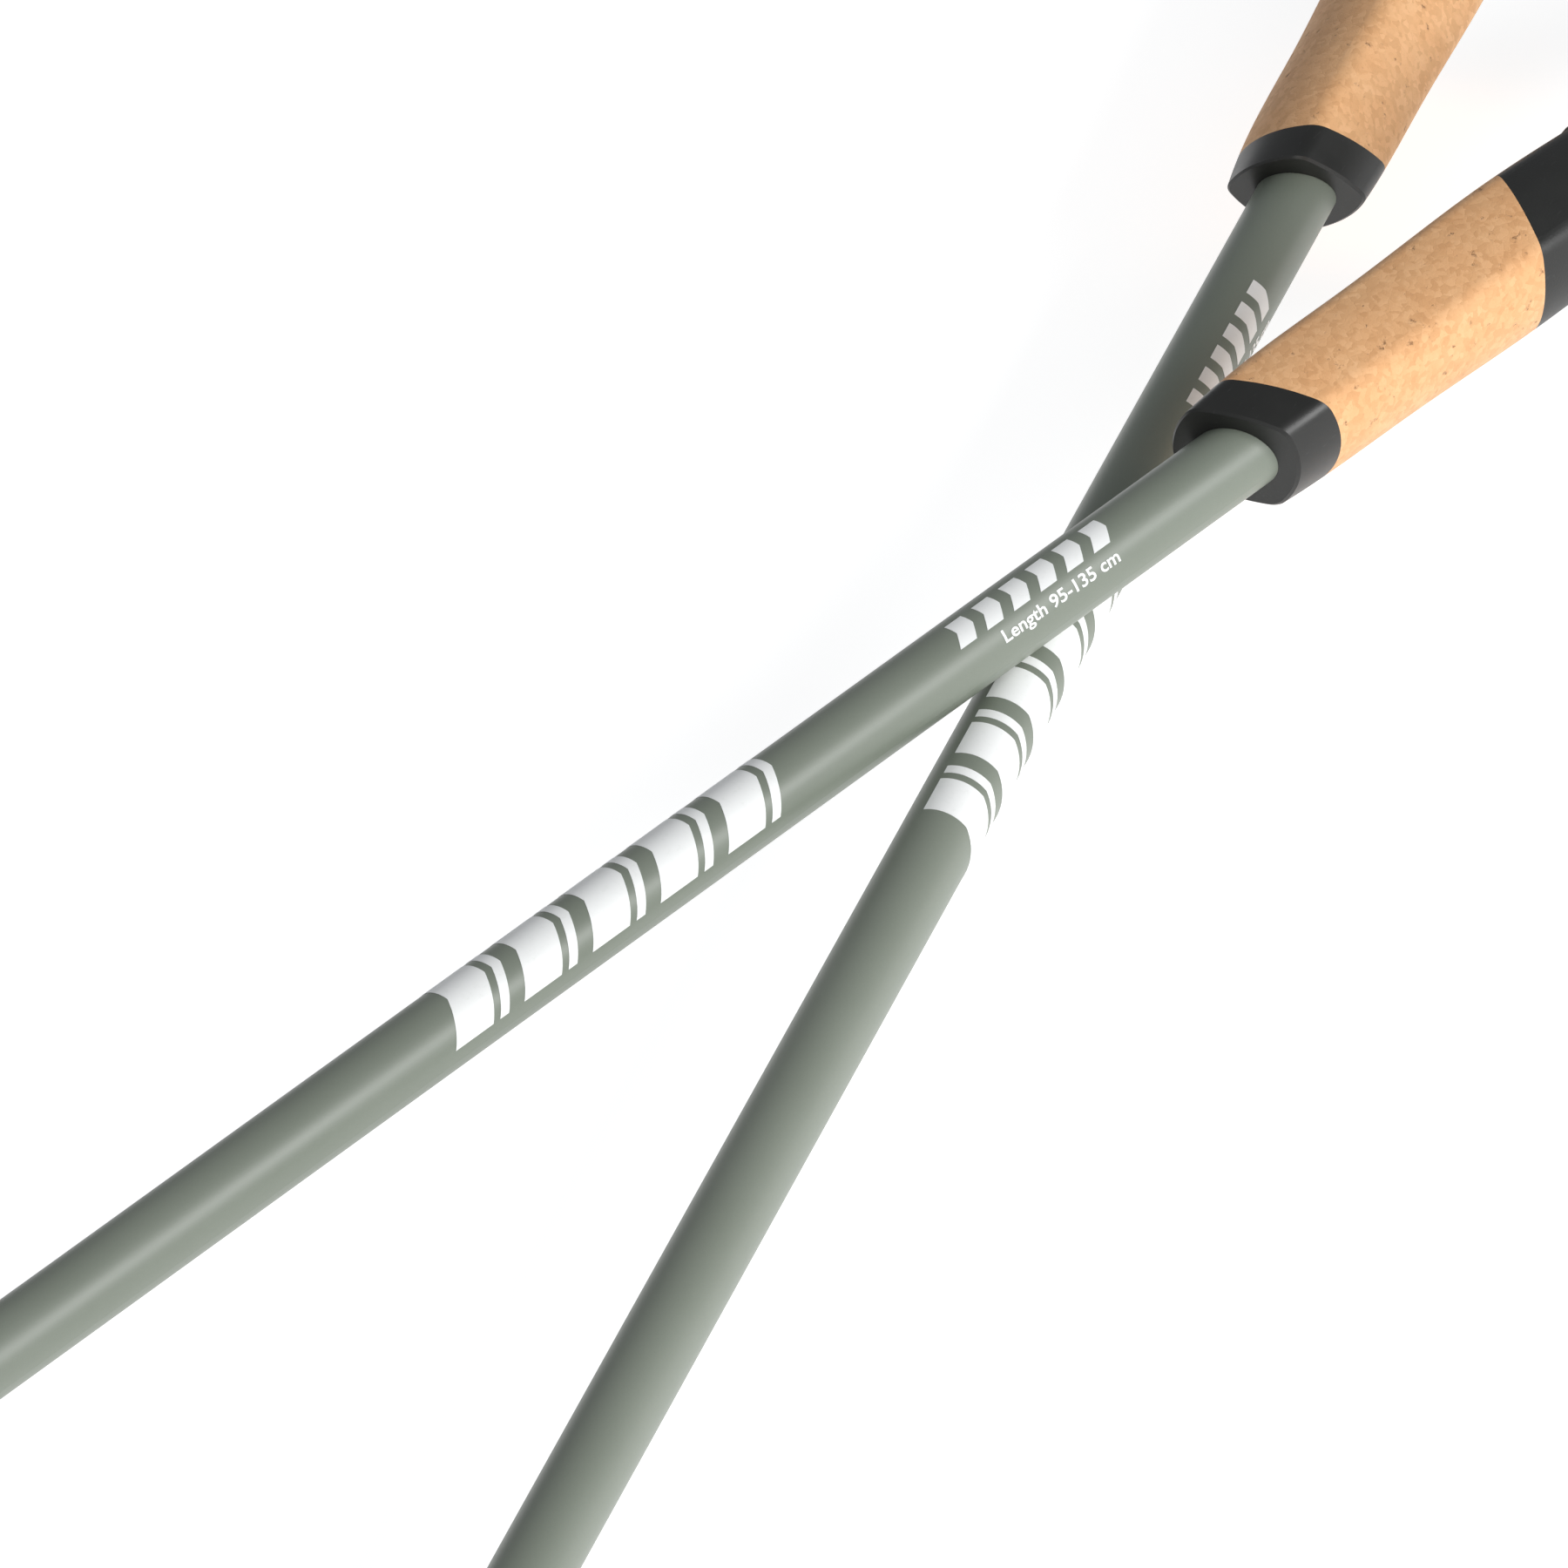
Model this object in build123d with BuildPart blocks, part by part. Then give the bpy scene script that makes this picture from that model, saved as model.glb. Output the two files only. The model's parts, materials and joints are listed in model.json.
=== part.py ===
"""A pair of telescopic trekking poles lying crossed on the ground.

Each pole is modelled once in its own frame: the origin is where the shaft enters the
grip's collar, +Z runs up the shaft to the head and +X points to the finger side. Both
copies are then laid down, pole_a across pole_b, in the row's frame with +Z up.
"""
import math
import os

from build123d import *

# ---- Driving dimensions, in millimetres and degrees ---------------------------------

LENGTH = 1200.0          # head top to the sole of the rubber foot, as set at rest
HEAD_TOP = 170.0         # head top above the collar's lower face
FIT_GAP = 0.02           # radial gap of glued and pressed parts
RUN_GAP = 0.08           # radial gap of running parts
FREE_GAP = 0.3           # gap between parts that only pass each other

UPPER_R = 9.0            # upper tube, 18 mm outside
LOWER_R = 7.8            # lower tube, 15.6 mm outside
WALL = 0.9
UPPER_TOP = 118.0        # upper tube's end inside the grip
UPPER_END = -604.0       # upper tube's lower end, inside the lock

COLLAR_SLOPE = 0.49      # slope of the collar's lower face, rise per run towards +X
CORK_LOW = (12.8, 0.53)  # height on the axis and slope of the cork's lower edge
CORK_HIGH = (95.0, -0.45)
# height, centre's offset towards the fingers, half depth and half width of the grip
GRIP_SECTIONS = [
    (-14.0, -0.5, 12.6, 12.2),
    (0.0, -0.8, 13.9, 13.4),
    (11.0, -0.9, 14.6, 14.1),
    (50.0, -0.9, 15.0, 14.6),
    (92.0, -0.9, 15.8, 15.3),
    (118.0, -0.3, 16.2, 15.4),
    (136.0, 2.0, 17.6, 16.2),
    (150.0, 5.2, 21.4, 18.4),
    (161.0, 7.4, 24.6, 20.2),
    (HEAD_TOP, 8.2, 25.0, 20.6),
]
# corners of the grip's section as parts of its half depth and half width, and how round
GRIP_CORNER = (0.74, 0.90, 0.35)
HEAD_CORNER = (0.76, 0.80, 0.50)
CROWN_FILLET = 7.5
PAD_DEPTH = 2.6          # soft pad let into the crown
PAD_BORDER = 6.5

POCKET = (140.0, 156.4)  # strap pocket in the back of the head, from and to
POCKET_WIDTH = 23.0
POCKET_FLOOR = -1.5
STRAP_WIDTH = 20.0
STRAP_THICK = 1.8
PIN_X, PIN_Z, PIN_R = -7.0, 151.9, 2.0
EYE_R = 3.8              # strap's sewn eye round the pin
WEDGE_TOP = 147.4

LOCK_TOP = -582.0
LOCK_END = -632.0
SLEEVE_R = 11.0
BAND_R = 13.0
BAND = (-629.5, -603.5)
LOCK_TURN = 150.0        # turns the lugs to the side that lies uppermost
SLIT = 2.0
LUG_X = (-7.5, 5.7)
LUG_TOP = 20.5
SCREW_Y, SCREW_R = 16.5, 2.0
LEVER_X = 11.5
CAM_R = 5.2
LEVER_RING = (13.6, 16.4)
LEVER_HALF = 10.0
LEVER_SPAN = (50.0, -76.0)
NUT_R = 5.0
NUT = (-12.4, -7.8)

FOOT_SOLE = HEAD_TOP - LENGTH
FERRULE_TOP = FOOT_SOLE + 150.0
FERRULE_NOSE = FOOT_SOLE + 24.0
THREAD = (FOOT_SOLE + 55.5, FOOT_SOLE + 69.0)
BASKET_R = 25.0
LOWER_TOP = UPPER_END + 100.0 + 175.0

# How the two poles lie: headings from +X, roll of the finger side about each shaft
HEADING = {"pole_a": -12.5, "pole_b": 12.5}
ROLL = {"pole_a": -164.5, "pole_b": -120.0}
CROSSING = {"pole_a": -72.7, "pole_b": -195.9}
STACK_GAP = 0.1


# ---- Helpers -------------------------------------------------------------------------

def height(line, x):
    """Height of a slanted parting line at the place x."""
    return line[0] + line[1] * x


def ring(outer, inner, low, high, edge=0.0):
    """A plain tube along the shaft, with its outer ends rounded by edge."""
    with BuildPart() as piece:
        with BuildSketch(Plane.XY.offset(low)):
            Circle(outer)
            Circle(inner, mode=Mode.SUBTRACT)
        extrude(amount=high - low)
        if edge:
            ends = piece.edges().filter_by(GeomType.CIRCLE).group_by(SortBy.RADIUS)[-1]
            fillet(ends, edge)
    return piece.part


def turned(profile):
    """A solid turned round the shaft from (radius, height) points."""
    with BuildPart() as piece:
        with BuildSketch(Plane.XZ):
            with BuildLine():
                Polyline(*profile, close=True)
            make_face()
        revolve(axis=Axis.Z)
    return piece.part


def slab(low_line, high_line, reach=40.0):
    """The space between two slanted planes, used to part the grip's form."""
    with BuildPart() as piece:
        with BuildSketch(Plane.XZ):
            with BuildLine():
                Polyline(
                    (-reach, height(low_line, -reach)),
                    (reach, height(low_line, reach)),
                    (reach, height(high_line, reach)),
                    (-reach, height(high_line, -reach)),
                    close=True,
                )
            make_face()
        extrude(amount=reach, both=True)
    return piece.part


# ---- Grip ----------------------------------------------------------------------------

def grip_section(depth, width, corner):
    """Section with four bowed sides that meet in soft creases, about its own middle."""
    corner_x, corner_y, roundness = corner[0] * depth, corner[1] * width, corner[2] * depth
    with BuildSketch() as section:
        with BuildLine():
            ThreePointArc((corner_x, -corner_y), (depth, 0), (corner_x, corner_y))
            ThreePointArc((corner_x, corner_y), (0, width), (-corner_x, corner_y))
            ThreePointArc((-corner_x, corner_y), (-depth, 0), (-corner_x, -corner_y))
            ThreePointArc((-corner_x, -corner_y), (0, -width), (corner_x, -corner_y))
        make_face()
        fillet(section.vertices(), roundness)
    return section.sketch


def grip_form():
    """The whole grip's outside, with no bore, from below the collar to the crown."""
    with BuildPart() as form:
        for z, offset_x, depth, width in GRIP_SECTIONS:
            corner = GRIP_CORNER if z < UPPER_TOP else HEAD_CORNER
            with BuildSketch(Plane.XY.offset(z)):
                with Locations((offset_x, 0)):
                    add(grip_section(depth, width, corner))
        loft()
        crown = form.faces().sort_by(Axis.Z)[-1].edges()
        fillet(crown, CROWN_FILLET)
    return form.part


def collar(form):
    """Black collar with a slanted lower face and a crisp rim."""
    with BuildPart() as piece:
        add(form)
        add(slab((0.0, COLLAR_SLOPE), CORK_LOW), mode=Mode.INTERSECT)
        with BuildSketch(Plane.XY.offset(-20)):
            Circle(UPPER_R + FIT_GAP)
        extrude(amount=60, mode=Mode.SUBTRACT)
        rim = piece.faces().filter_by(GeomType.PLANE).sort_by(Axis.Z)[0].outer_wire()
        chamfer(rim.edges(), 0.6)
    return piece.part


def cork(form):
    """Cork sleeve between the two slanted parting lines."""
    with BuildPart() as piece:
        add(form)
        add(slab(CORK_LOW, CORK_HIGH), mode=Mode.INTERSECT)
        with BuildSketch(Plane.XY.offset(-5)):
            Circle(UPPER_R + FIT_GAP)
        extrude(amount=130, mode=Mode.SUBTRACT)
    return piece.part


def crown_pad(form):
    """Soft pad let into the crown, flush with the head."""
    offset_x, depth, width = GRIP_SECTIONS[-1][1:]
    with BuildPart() as piece:
        add(form)
        with BuildSketch(Plane.XY.offset(HEAD_TOP - PAD_DEPTH)):
            with Locations((offset_x, 0)):
                add(grip_section(depth - PAD_BORDER, width - PAD_BORDER, HEAD_CORNER))
        extrude(amount=20, mode=Mode.INTERSECT)
    return piece.part


def head(form, pad):
    """Upper grip with its strap pocket, pin hole, pad recess and tube bore."""
    with BuildPart() as piece:
        add(form)
        add(slab(CORK_HIGH, (HEAD_TOP + 60, 0.0)), mode=Mode.INTERSECT)
        with BuildSketch(Plane.XY.offset(60)):
            Circle(UPPER_R + FIT_GAP)
        extrude(amount=UPPER_TOP - 60, mode=Mode.SUBTRACT)
        with BuildSketch(Plane.XZ):
            with Locations((POCKET_FLOOR - 30, sum(POCKET) / 2)):
                Rectangle(60, POCKET[1] - POCKET[0])
        extrude(amount=POCKET_WIDTH / 2, both=True, mode=Mode.SUBTRACT)
        with BuildSketch(Plane.XZ):
            with Locations((PIN_X, PIN_Z)):
                Circle(PIN_R + FIT_GAP)
        extrude(amount=40, both=True, mode=Mode.SUBTRACT)
        add(pad, mode=Mode.SUBTRACT)
    return piece.part


def strap_pin(form):
    """Steel pin across the head, ground flush at both ends."""
    with BuildPart() as piece:
        with BuildSketch(Plane.XZ):
            with Locations((PIN_X, PIN_Z)):
                Circle(PIN_R)
        extrude(amount=40, both=True)
        add(form, mode=Mode.INTERSECT)
    return piece.part


def strap_wedge(form):
    """Wedge that fills the lower half of the pocket, flush with the head's back."""
    low, gap = POCKET[0], FREE_GAP
    with BuildPart() as piece:
        with BuildSketch(Plane.XZ):
            with BuildLine():
                Polyline(
                    (-40, low + gap),
                    (POCKET_FLOOR - gap, low + gap),
                    (POCKET_FLOOR - gap, WEDGE_TOP - 2.4),
                    (-40, WEDGE_TOP),
                    close=True,
                )
            make_face()
        extrude(amount=POCKET_WIDTH / 2 - gap, both=True)
        add(form, mode=Mode.INTERSECT)
        with BuildSketch(Plane.YZ.offset(-40)):
            with Locations(*[(0, low + 2.2 + 1.5 * i) for i in range(3)]):
                Rectangle(14, 0.6)
        extrude(amount=25.3, mode=Mode.SUBTRACT)
    return piece.part


# ---- Wrist straps --------------------------------------------------------------------

# Each closed loop is drawn in a plane through the shaft: (out from it, along it).
# pole_a's loop stands on its edge, and pole_b's droops over the head and lies down.
LOOP = {
    "pole_a": [
        (15.0, 152), (26, 150.2), (36, 162), (45, 196), (50, 240), (48, 284), (37, 318),
        (18, 330), (0, 318), (-9, 284), (-4, 240), (9, 202), (20, 176), (21, 160),
    ],
    "pole_b": [
        (15.0, 152), (28, 149.6), (38, 160), (41, 184), (29, 210), (9, 236), (-7, 272),
        (-12, 308), (-14, 332), (-18, 344), (-25, 342), (-29.4, 328), (-29.6, 300),
        (-28, 262), (-14, 232), (9, 208), (27, 188), (31, 168), (24, 156),
    ],
}
# Turn of each loop's plane about the shaft from straight behind the head, and its tilt
LOOP_TURN = {"pole_a": -15.5, "pole_b": 30.0}
LOOP_TILT = {"pole_a": -12.6, "pole_b": 0.0}


def bend_radii(points):
    """Radius for each corner of a closed route, as large as its two runs allow."""
    radii = []
    for index, here in enumerate(points):
        after = points[(index + 1) % len(points)]
        run_in = Vector(*here) - Vector(*points[index - 1])
        run_out = Vector(*after) - Vector(*here)
        turn = math.radians(run_in.get_angle(run_out))
        shorter = min(run_in.length, run_out.length)
        radii.append(0.45 * shorter / math.tan(turn / 2))
    return radii


def loop_plane(pole):
    """Plane of a strap's loop: x away from the shaft, y up the shaft, width along z."""
    turn = math.radians(180 + LOOP_TURN[pole])
    out = Vector(math.cos(turn), math.sin(turn), 0)
    sideways = Vector(0, 0, 1).cross(out)
    tilt = math.radians(LOOP_TILT[pole])
    along = Vector(0, 0, 1) * math.cos(tilt) + sideways * math.sin(tilt)
    anchor = Vector(0, 0, PIN_Z)
    return Plane(origin=anchor, x_dir=out, z_dir=out.cross(along))


def strap(pole):
    """Webbing wrist loop with a sewn eye round the pin."""
    with BuildPart() as piece:
        route = [(out, along - PIN_Z) for out, along in LOOP[pole]]
        with BuildSketch(loop_plane(pole)):
            for side, mode in ((STRAP_THICK / 2, Mode.ADD), (-STRAP_THICK / 2, Mode.SUBTRACT)):
                with BuildLine():
                    FilletPolyline(*route, radius=bend_radii(route), close=True)
                    offset(amount=side)
                make_face(mode=mode)
        extrude(amount=STRAP_WIDTH / 2, both=True)
        with BuildSketch(Plane.XZ):
            with Locations((PIN_X - 7.5, PIN_Z)):
                Rectangle(15, 2 * STRAP_THICK)
            with Locations((PIN_X, PIN_Z)):
                Circle(EYE_R)
        extrude(amount=STRAP_WIDTH / 2, both=True)
        with BuildSketch(Plane.XZ):
            with Locations((PIN_X, PIN_Z)):
                Circle(PIN_R + FIT_GAP)
        extrude(amount=STRAP_WIDTH, both=True, mode=Mode.SUBTRACT)
    return piece.part


# ---- Shaft and lever lock ------------------------------------------------------------

def lock_sleeve():
    """Moulded sleeve glued over the upper tube's end, split where the band grips it."""
    with BuildPart() as piece:
        add(ring(SLEEVE_R, LOWER_R + RUN_GAP, LOCK_END, LOCK_TOP, edge=1.2))
        with BuildSketch(Plane.XY.offset(UPPER_END)):
            Circle(UPPER_R + FIT_GAP)
        extrude(amount=LOCK_TOP - UPPER_END, mode=Mode.SUBTRACT)
        with BuildSketch(Plane.XY.offset(LOCK_END)):
            with Locations((0, SLEEVE_R)):
                Rectangle(SLIT, 2 * SLEEVE_R)
        extrude(amount=UPPER_END - LOCK_END - 2, mode=Mode.SUBTRACT)
    return piece.part


def lock_band():
    """C-shaped clamp round the sleeve with two lugs for the tension screw."""
    middle = sum(BAND) / 2
    with BuildPart() as piece:
        add(ring(BAND_R, SLEEVE_R + FIT_GAP, BAND[0], BAND[1], edge=0.8))
        with BuildSketch(Plane.XY.offset(middle)):
            with Locations(((LUG_X[0] + LUG_X[1]) / 2, (LUG_TOP + SLEEVE_R + 0.6) / 2)):
                Rectangle(LUG_X[1] - LUG_X[0], LUG_TOP - SLEEVE_R - 0.6)
        extrude(amount=9, both=True)
        corners = piece.edges().filter_by(Axis.X).group_by(Axis.Y)[-1]
        fillet(corners, 3.5)
        with BuildSketch(Plane.XY.offset(BAND[0])):
            with Locations((0, LUG_TOP)):
                Rectangle(SLIT, 2 * LUG_TOP)
        extrude(amount=BAND[1] - BAND[0], mode=Mode.SUBTRACT)
        with BuildSketch(Plane.YZ):
            with Locations((SCREW_Y, middle)):
                Circle(SCREW_R + FREE_GAP / 3)
        extrude(amount=30, both=True, mode=Mode.SUBTRACT)
        with BuildSketch(Plane.XY.offset(BAND[0])):
            Circle(SLEEVE_R + FIT_GAP)
        extrude(amount=BAND[1] - BAND[0], mode=Mode.SUBTRACT)
    return piece.part


def lock_screw():
    """Tension screw with a flat eye for the lever's pin."""
    middle = sum(BAND) / 2
    with BuildPart() as piece:
        with BuildSketch(Plane.YZ.offset(NUT[0] - 2)):
            with Locations((SCREW_Y, middle)):
                Circle(SCREW_R)
        extrude(amount=LEVER_X - 3 - (NUT[0] - 2))
        with BuildSketch(Plane.XY.offset(middle)):
            with Locations((LEVER_X, SCREW_Y)):
                Circle(3.5)
            with Locations((LEVER_X - 3, SCREW_Y)):
                Rectangle(3, 3.6)
        extrude(amount=2, both=True)
        with BuildSketch(Plane.XY.offset(middle)):
            with Locations((LEVER_X, SCREW_Y)):
                Circle(1.5 + FIT_GAP)
        extrude(amount=10, both=True, mode=Mode.SUBTRACT)
    return piece.part


def lever_pin():
    """Steel pin that the lever turns on."""
    middle = sum(BAND) / 2
    with BuildPart() as piece:
        with BuildSketch(Plane.XY.offset(middle)):
            with Locations((LEVER_X, SCREW_Y)):
                Circle(1.5)
        extrude(amount=LEVER_HALF - 0.6, both=True)
    return piece.part


def lock_lever():
    """Cam lever that wraps the lock when shut, with a lifting lip at its end."""
    middle = sum(BAND) / 2
    inner, outer = LEVER_RING
    start, end = (math.radians(a) for a in LEVER_SPAN)
    with BuildPart() as piece:
        with BuildSketch(Plane.XY.offset(middle)):
            with BuildLine():
                mid = (start + end) / 2
                outer_arc = ThreePointArc(
                    (outer * math.cos(start), outer * math.sin(start)),
                    (outer * math.cos(mid), outer * math.sin(mid)),
                    (outer * math.cos(end), outer * math.sin(end)),
                )
                inner_arc = ThreePointArc(
                    (inner * math.cos(start), inner * math.sin(start)),
                    (inner * math.cos(mid), inner * math.sin(mid)),
                    (inner * math.cos(end), inner * math.sin(end)),
                )
                Line(outer_arc @ 0, inner_arc @ 0)
                lip = Vector(outer * math.cos(end) - 1.6, outer * math.sin(end) - 2.6)
                Polyline(outer_arc @ 1, lip, lip + Vector(-1.8, 0.7), inner_arc @ 1)
            make_face()
        extrude(amount=LEVER_HALF, both=True)
        with BuildSketch(Plane.XY.offset(middle)):
            with Locations((LEVER_X, SCREW_Y)):
                Circle(CAM_R)
        extrude(amount=LEVER_HALF, both=True)
        with BuildSketch(Plane.XY.offset(middle)):
            with Locations((LEVER_X, SCREW_Y + 1)):
                Circle(CAM_R + 1)
        extrude(amount=2 + FREE_GAP, both=True, mode=Mode.SUBTRACT)
        with BuildSketch(Plane.XY.offset(middle)):
            with Locations((LEVER_X, SCREW_Y)):
                Circle(1.5 + RUN_GAP)
        extrude(amount=30, both=True, mode=Mode.SUBTRACT)
    return piece.part


def lock_nut():
    """Knurled thumb nut that sets the clamp's tension."""
    middle = sum(BAND) / 2
    with BuildPart() as piece:
        with BuildSketch(Plane.YZ.offset(NUT[0])):
            with Locations((SCREW_Y, middle)):
                Circle(NUT_R)
                Circle(SCREW_R + RUN_GAP, mode=Mode.SUBTRACT)
                with PolarLocations(NUT_R + 0.25, 18):
                    Circle(0.6, mode=Mode.SUBTRACT)
        extrude(amount=NUT[1] - NUT[0])
    return piece.part


# ---- Lower section and tip -----------------------------------------------------------

def guide_bush():
    """Plug in the lower tube's top end that runs in the upper tube's bore."""
    bore = UPPER_R - WALL
    with BuildPart() as piece:
        add(ring(bore - RUN_GAP, 3.0, LOWER_TOP + FIT_GAP, LOWER_TOP + 26, edge=1.0))
        add(ring(LOWER_R - WALL - FIT_GAP, 3.0, LOWER_TOP - 18, LOWER_TOP + 2))
    return piece.part


def ferrule():
    """Tapered flexible tip holder with a screw thread and stop flange for the basket."""
    sole, top = FOOT_SOLE, FERRULE_TOP
    ridge, root = 6.7, 6.2
    pitch = 3.0
    thread = []
    z = THREAD[0]
    while z + pitch <= THREAD[1]:
        thread += [(root, z), (root, z + 0.9), (ridge, z + 1.5), (root, z + 2.1)]
        z += pitch
    profile = (
        [(0, FERRULE_NOSE), (4.6, FERRULE_NOSE), (5.1, FERRULE_NOSE + 1.5), (5.7, sole + 52)]
        + thread
        + [(root, sole + 69), (10.0, sole + 69), (11.0, sole + 70), (11.0, sole + 71.2),
           (7.2, sole + 74), (9.0, top - 1.5), (8.4, top), (0, top)]
    )
    with BuildPart() as piece:
        add(turned(profile))
        with BuildSketch(Plane.XY.offset(sole + 112)):
            Circle(LOWER_R + FIT_GAP)
        extrude(amount=60, mode=Mode.SUBTRACT)
        with BuildSketch(Plane.XY.offset(FERRULE_NOSE)):
            Circle(2.5 + FIT_GAP)
        extrude(amount=16, mode=Mode.SUBTRACT)
    return piece.part


def carbide_tip():
    """Carbide point with a hollow crown, pressed into the ferrule's nose."""
    sole = FOOT_SOLE
    return turned([
        (0, sole + 15.2), (2.6, sole + 14.0), (3.1, sole + 17.0), (3.4, sole + 20.5),
        (4.3, FERRULE_NOSE - FIT_GAP), (2.5, FERRULE_NOSE - FIT_GAP), (2.5, sole + 39),
        (0, sole + 39),
    ])


def basket():
    """Small round basket on a threaded hub, with six windows."""
    low, high = FOOT_SOLE + 56.0, THREAD[1] - FREE_GAP
    disc = low + 4.0
    with BuildPart() as piece:
        add(turned([
            (6.7 + 0.1, low), (9.3, low), (9.8, disc), (23.0, disc - 1.6), (24.6, disc - 2.2),
            (BASKET_R, disc - 0.6), (BASKET_R - 0.6, disc + 0.9), (23.2, disc + 0.6),
            (10.4, disc + 2.2), (9.2, high), (6.7 + 0.1, high),
        ]))
        with BuildSketch(Plane.XY.offset(low)):
            with PolarLocations(17.0, 6):
                SlotOverall(9.0, 5.6, rotation=90)
        extrude(amount=high - low, mode=Mode.SUBTRACT)
    return piece.part


def rubber_foot():
    """Push-on rubber foot with a flat sole, tread grooves and a socket for the tip."""
    sole = FOOT_SOLE
    with BuildPart() as piece:
        add(turned([
            (0, sole), (9.6, sole), (10.4, sole + 1.0), (10.4, sole + 5.0), (9.4, sole + 9.0),
            (8.6, sole + 30.0), (8.9, sole + 43.0), (8.9, sole + 46.5), (8.1, sole + 48.0),
            (5.98, sole + 48.0), (5.5, sole + 23.6), (3.75, sole + 21.0), (3.75, sole + 12.0),
            (0, sole + 12.0),
        ]))
        with BuildSketch(Plane.XY.offset(sole)):
            with GridLocations(4.2, 0, 3, 1):
                Rectangle(1.4, 30)
        extrude(amount=1.6, mode=Mode.SUBTRACT)
        with BuildSketch(Plane.XY.offset(sole + 33)):
            with PolarLocations(9.1, 12):
                Circle(0.9)
        extrude(amount=9, mode=Mode.SUBTRACT)
    return piece.part


# ---- One pole ------------------------------------------------------------------------

def pole_pieces():
    """Every piece of a pole but its strap, in the pole's own frame."""
    form = grip_form()
    pad = crown_pad(form)
    lock_turn = Rotation(0, 0, LOCK_TURN)
    pieces = {
        "grip_collar": collar(form),
        "grip_cork": cork(form),
        "grip_head": head(form, pad),
        "head_pad": pad,
        "strap_pin": strap_pin(form),
        "strap_wedge": strap_wedge(form),
        "upper_tube": ring(UPPER_R, UPPER_R - WALL, UPPER_END, UPPER_TOP),
        "lower_tube": ring(LOWER_R, LOWER_R - WALL, FOOT_SOLE + 112.1, LOWER_TOP),
        "guide_bush": guide_bush(),
        "ferrule": ferrule(),
        "carbide_tip": carbide_tip(),
        "basket": basket(),
        "rubber_foot": rubber_foot(),
    }
    lock = {
        "lock_sleeve": lock_sleeve(),
        "lock_band": lock_band(),
        "lock_screw": lock_screw(),
        "lever_pin": lever_pin(),
        "lock_lever": lock_lever(),
        "lock_nut": lock_nut(),
    }
    pieces.update({name: piece.moved(lock_turn) for name, piece in lock.items()})
    return pieces


# ---- Laying the poles down -----------------------------------------------------------

def pole_plane(pole, slope, point, along):
    """Frame of a lying pole whose shaft passes through point at the height along."""
    heading, tilt, roll = (math.radians(a) for a in (HEADING[pole], slope, ROLL[pole]))
    shaft = Vector(
        math.cos(heading) * math.cos(tilt), math.sin(heading) * math.cos(tilt), math.sin(tilt)
    )
    side = Vector(-math.sin(heading), math.cos(heading), 0)
    above = shaft.cross(side)
    fingers = side * math.cos(roll) + above * math.sin(roll)
    return Plane(origin=Vector(*point) - shaft * along, x_dir=fingers, z_dir=shaft)


def reach_down(pole, piece):
    """How far a piece reaches below the shaft's axis as the pole lies level."""
    level = pole_plane(pole, 0.0, (0, 0, 0), 0.0)
    return -piece.moved(level.location).bounding_box().min.Z


def resting_planes(pieces):
    """pole_b lies on its head and basket; pole_a on its basket and across pole_b."""
    head_z, basket_z = GRIP_SECTIONS[-2][0], FOOT_SOLE + 58.0
    head_reach = reach_down("pole_b", pieces["grip_head"])
    slope_b = math.asin((head_reach - BASKET_R) / (head_z - basket_z))
    cross_b = head_reach + (CROSSING["pole_b"] - head_z) * math.sin(slope_b)
    cross_a = cross_b + 2 * UPPER_R + STACK_GAP
    slope_a = math.asin((cross_a - BASKET_R) / (CROSSING["pole_a"] - basket_z))
    return {
        "pole_a": pole_plane(
            "pole_a", math.degrees(slope_a), (0, 0, cross_a), CROSSING["pole_a"]
        ),
        "pole_b": pole_plane(
            "pole_b", math.degrees(slope_b), (0, 0, cross_b), CROSSING["pole_b"]
        ),
    }


def assemble():
    """Both poles in place, with the origin under the middle of their common box."""
    pieces = pole_pieces()
    planes = resting_planes(pieces)
    placed = {}
    for pole, plane in planes.items():
        whole = dict(pieces)
        whole["strap"] = strap(pole)
        for name, piece in whole.items():
            placed[f"{pole}_{name}"] = piece.moved(plane.location)
    boxes = [piece.bounding_box() for piece in placed.values()]
    low = [min(getattr(box.min, axis) for box in boxes) for axis in "XYZ"]
    high = [max(getattr(box.max, axis) for box in boxes) for axis in "XYZ"]
    shift = Vector(-(low[0] + high[0]) / 2, -(low[1] + high[1]) / 2, -low[2])
    placed = {name: piece.moved(Location(shift)) for name, piece in placed.items()}
    for plane in planes.values():
        plane.origin = plane.origin + shift
    return placed, planes


PLACED, PLANES = assemble()

os.makedirs("parts", exist_ok=True)
for node, placed_piece in PLACED.items():
    placed_piece.label = node
    export_step(placed_piece, f"parts/{node}.step")
for pole_name, pole_frame in PLANES.items():
    print(pole_name, "origin", pole_frame.origin, "shaft", pole_frame.z_dir)
    print(pole_name, "strap bends", [round(r, 1) for r in bend_radii(LOOP[pole_name])])
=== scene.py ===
# %% [markdown]
# # A crossed pair of trekking poles
# The tubes, grips, locks and tips of the two poles come ready made from the CAD model, as
# the fixed frame. This lesson gives them their finishes, and adds what CAD leaves plain:
# the woven wrist straps with their stitching, the printed marks on the tubes, the length
# scale on the lower tubes, and the small ribs of the head, the lever and the basket. The
# frame is loaded before anything else, because every new piece takes its place from it.

# %% Load the frame
import json
import math

import bpy
from mathutils import Matrix, Vector


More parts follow.
